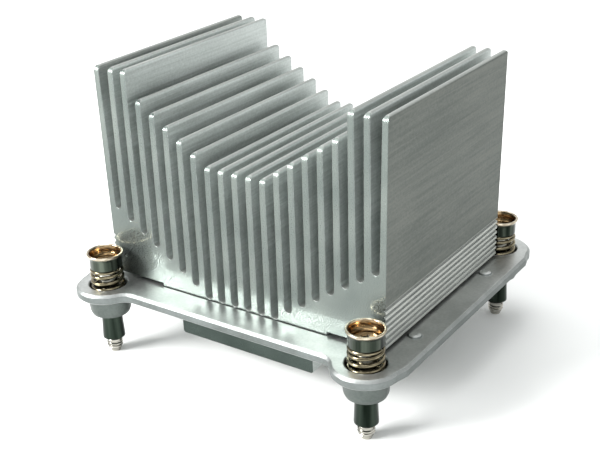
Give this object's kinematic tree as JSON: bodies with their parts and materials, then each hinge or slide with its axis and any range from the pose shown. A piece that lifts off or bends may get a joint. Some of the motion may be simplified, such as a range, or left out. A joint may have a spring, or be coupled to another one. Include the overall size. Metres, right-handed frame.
{
  "type": "passive cpu heatsink",
  "caption": "Passive heatsink for a server processor: an extruded fin body with a V-shaped valley in a cast mounting frame with captive spring screws.",
  "frame": {"origin": "middle of the contact face that sits on the processor", "axes": "+X across the fins, +Y along the fins, +Z from the processor to the fin tips"},
  "size_m": [0.0926, 0.0834, 0.0732],
  "materials": {
    "extruded_aluminium": "extruded, fine grain along the fins",
    "cast_frame": "cast, satin",
    "nickel_plate": "bright nickel plate",
    "spring_wire": "nickel-plated wire",
    "zinc_screw": "zinc plated"
  },
  "bodies": {
    "heatsink": {"fin_body": "extruded_aluminium", "mounting_frame": "cast_frame", "spring_front_left": "spring_wire", "spring_front_right": "spring_wire", "spring_back_right": "spring_wire", "spring_back_left": "spring_wire", "frame_screw_front_left": "zinc_screw", "frame_screw_front_right": "zinc_screw", "frame_screw_back_right": "zinc_screw", "frame_screw_back_left": "zinc_screw"},
    "plunger_front_left": {"driver_cup_front_left": "nickel_plate"},
    "screw_front_left": {"captive_screw_front_left": "nickel_plate", "standoff_sleeve_front_left": "nickel_plate"},
    "plunger_front_right": {"driver_cup_front_right": "nickel_plate"},
    "screw_front_right": {"captive_screw_front_right": "nickel_plate", "standoff_sleeve_front_right": "nickel_plate"},
    "plunger_back_right": {"driver_cup_back_right": "nickel_plate"},
    "screw_back_right": {"captive_screw_back_right": "nickel_plate", "standoff_sleeve_back_right": "nickel_plate"},
    "plunger_back_left": {"driver_cup_back_left": "nickel_plate"},
    "screw_back_left": {"captive_screw_back_left": "nickel_plate", "standoff_sleeve_back_left": "nickel_plate"}
  },
  "joints": [
    {"name": "plunge_front_left", "type": "slide", "parent": "heatsink", "child": "plunger_front_left", "axis": [0, 0, 1], "range_m": [-0.003, 0], "stiffness_N_per_m": 2000, "springref_m": 0.005, "deforming": ["spring_front_left"]},
    {"name": "turn_front_left", "type": "hinge", "parent": "plunger_front_left", "child": "screw_front_left", "pos_m": [-0.0375, -0.0337, 0.017], "axis": [0, 0, 1], "continuous": true},
    {"name": "plunge_front_right", "type": "slide", "parent": "heatsink", "child": "plunger_front_right", "axis": [0, 0, 1], "range_m": [-0.003, 0], "stiffness_N_per_m": 2000, "springref_m": 0.005, "deforming": ["spring_front_right"]},
    {"name": "turn_front_right", "type": "hinge", "parent": "plunger_front_right", "child": "screw_front_right", "pos_m": [0.0375, -0.0337, 0.017], "axis": [0, 0, 1], "continuous": true},
    {"name": "plunge_back_right", "type": "slide", "parent": "heatsink", "child": "plunger_back_right", "axis": [0, 0, 1], "range_m": [-0.003, 0], "stiffness_N_per_m": 2000, "springref_m": 0.005, "deforming": ["spring_back_right"]},
    {"name": "turn_back_right", "type": "hinge", "parent": "plunger_back_right", "child": "screw_back_right", "pos_m": [0.0375, 0.0337, 0.017], "axis": [0, 0, 1], "continuous": true},
    {"name": "plunge_back_left", "type": "slide", "parent": "heatsink", "child": "plunger_back_left", "axis": [0, 0, 1], "range_m": [-0.003, 0], "stiffness_N_per_m": 2000, "springref_m": 0.005, "deforming": ["spring_back_left"]},
    {"name": "turn_back_left", "type": "hinge", "parent": "plunger_back_left", "child": "screw_back_left", "pos_m": [-0.0375, 0.0337, 0.017], "axis": [0, 0, 1], "continuous": true}
  ]
}
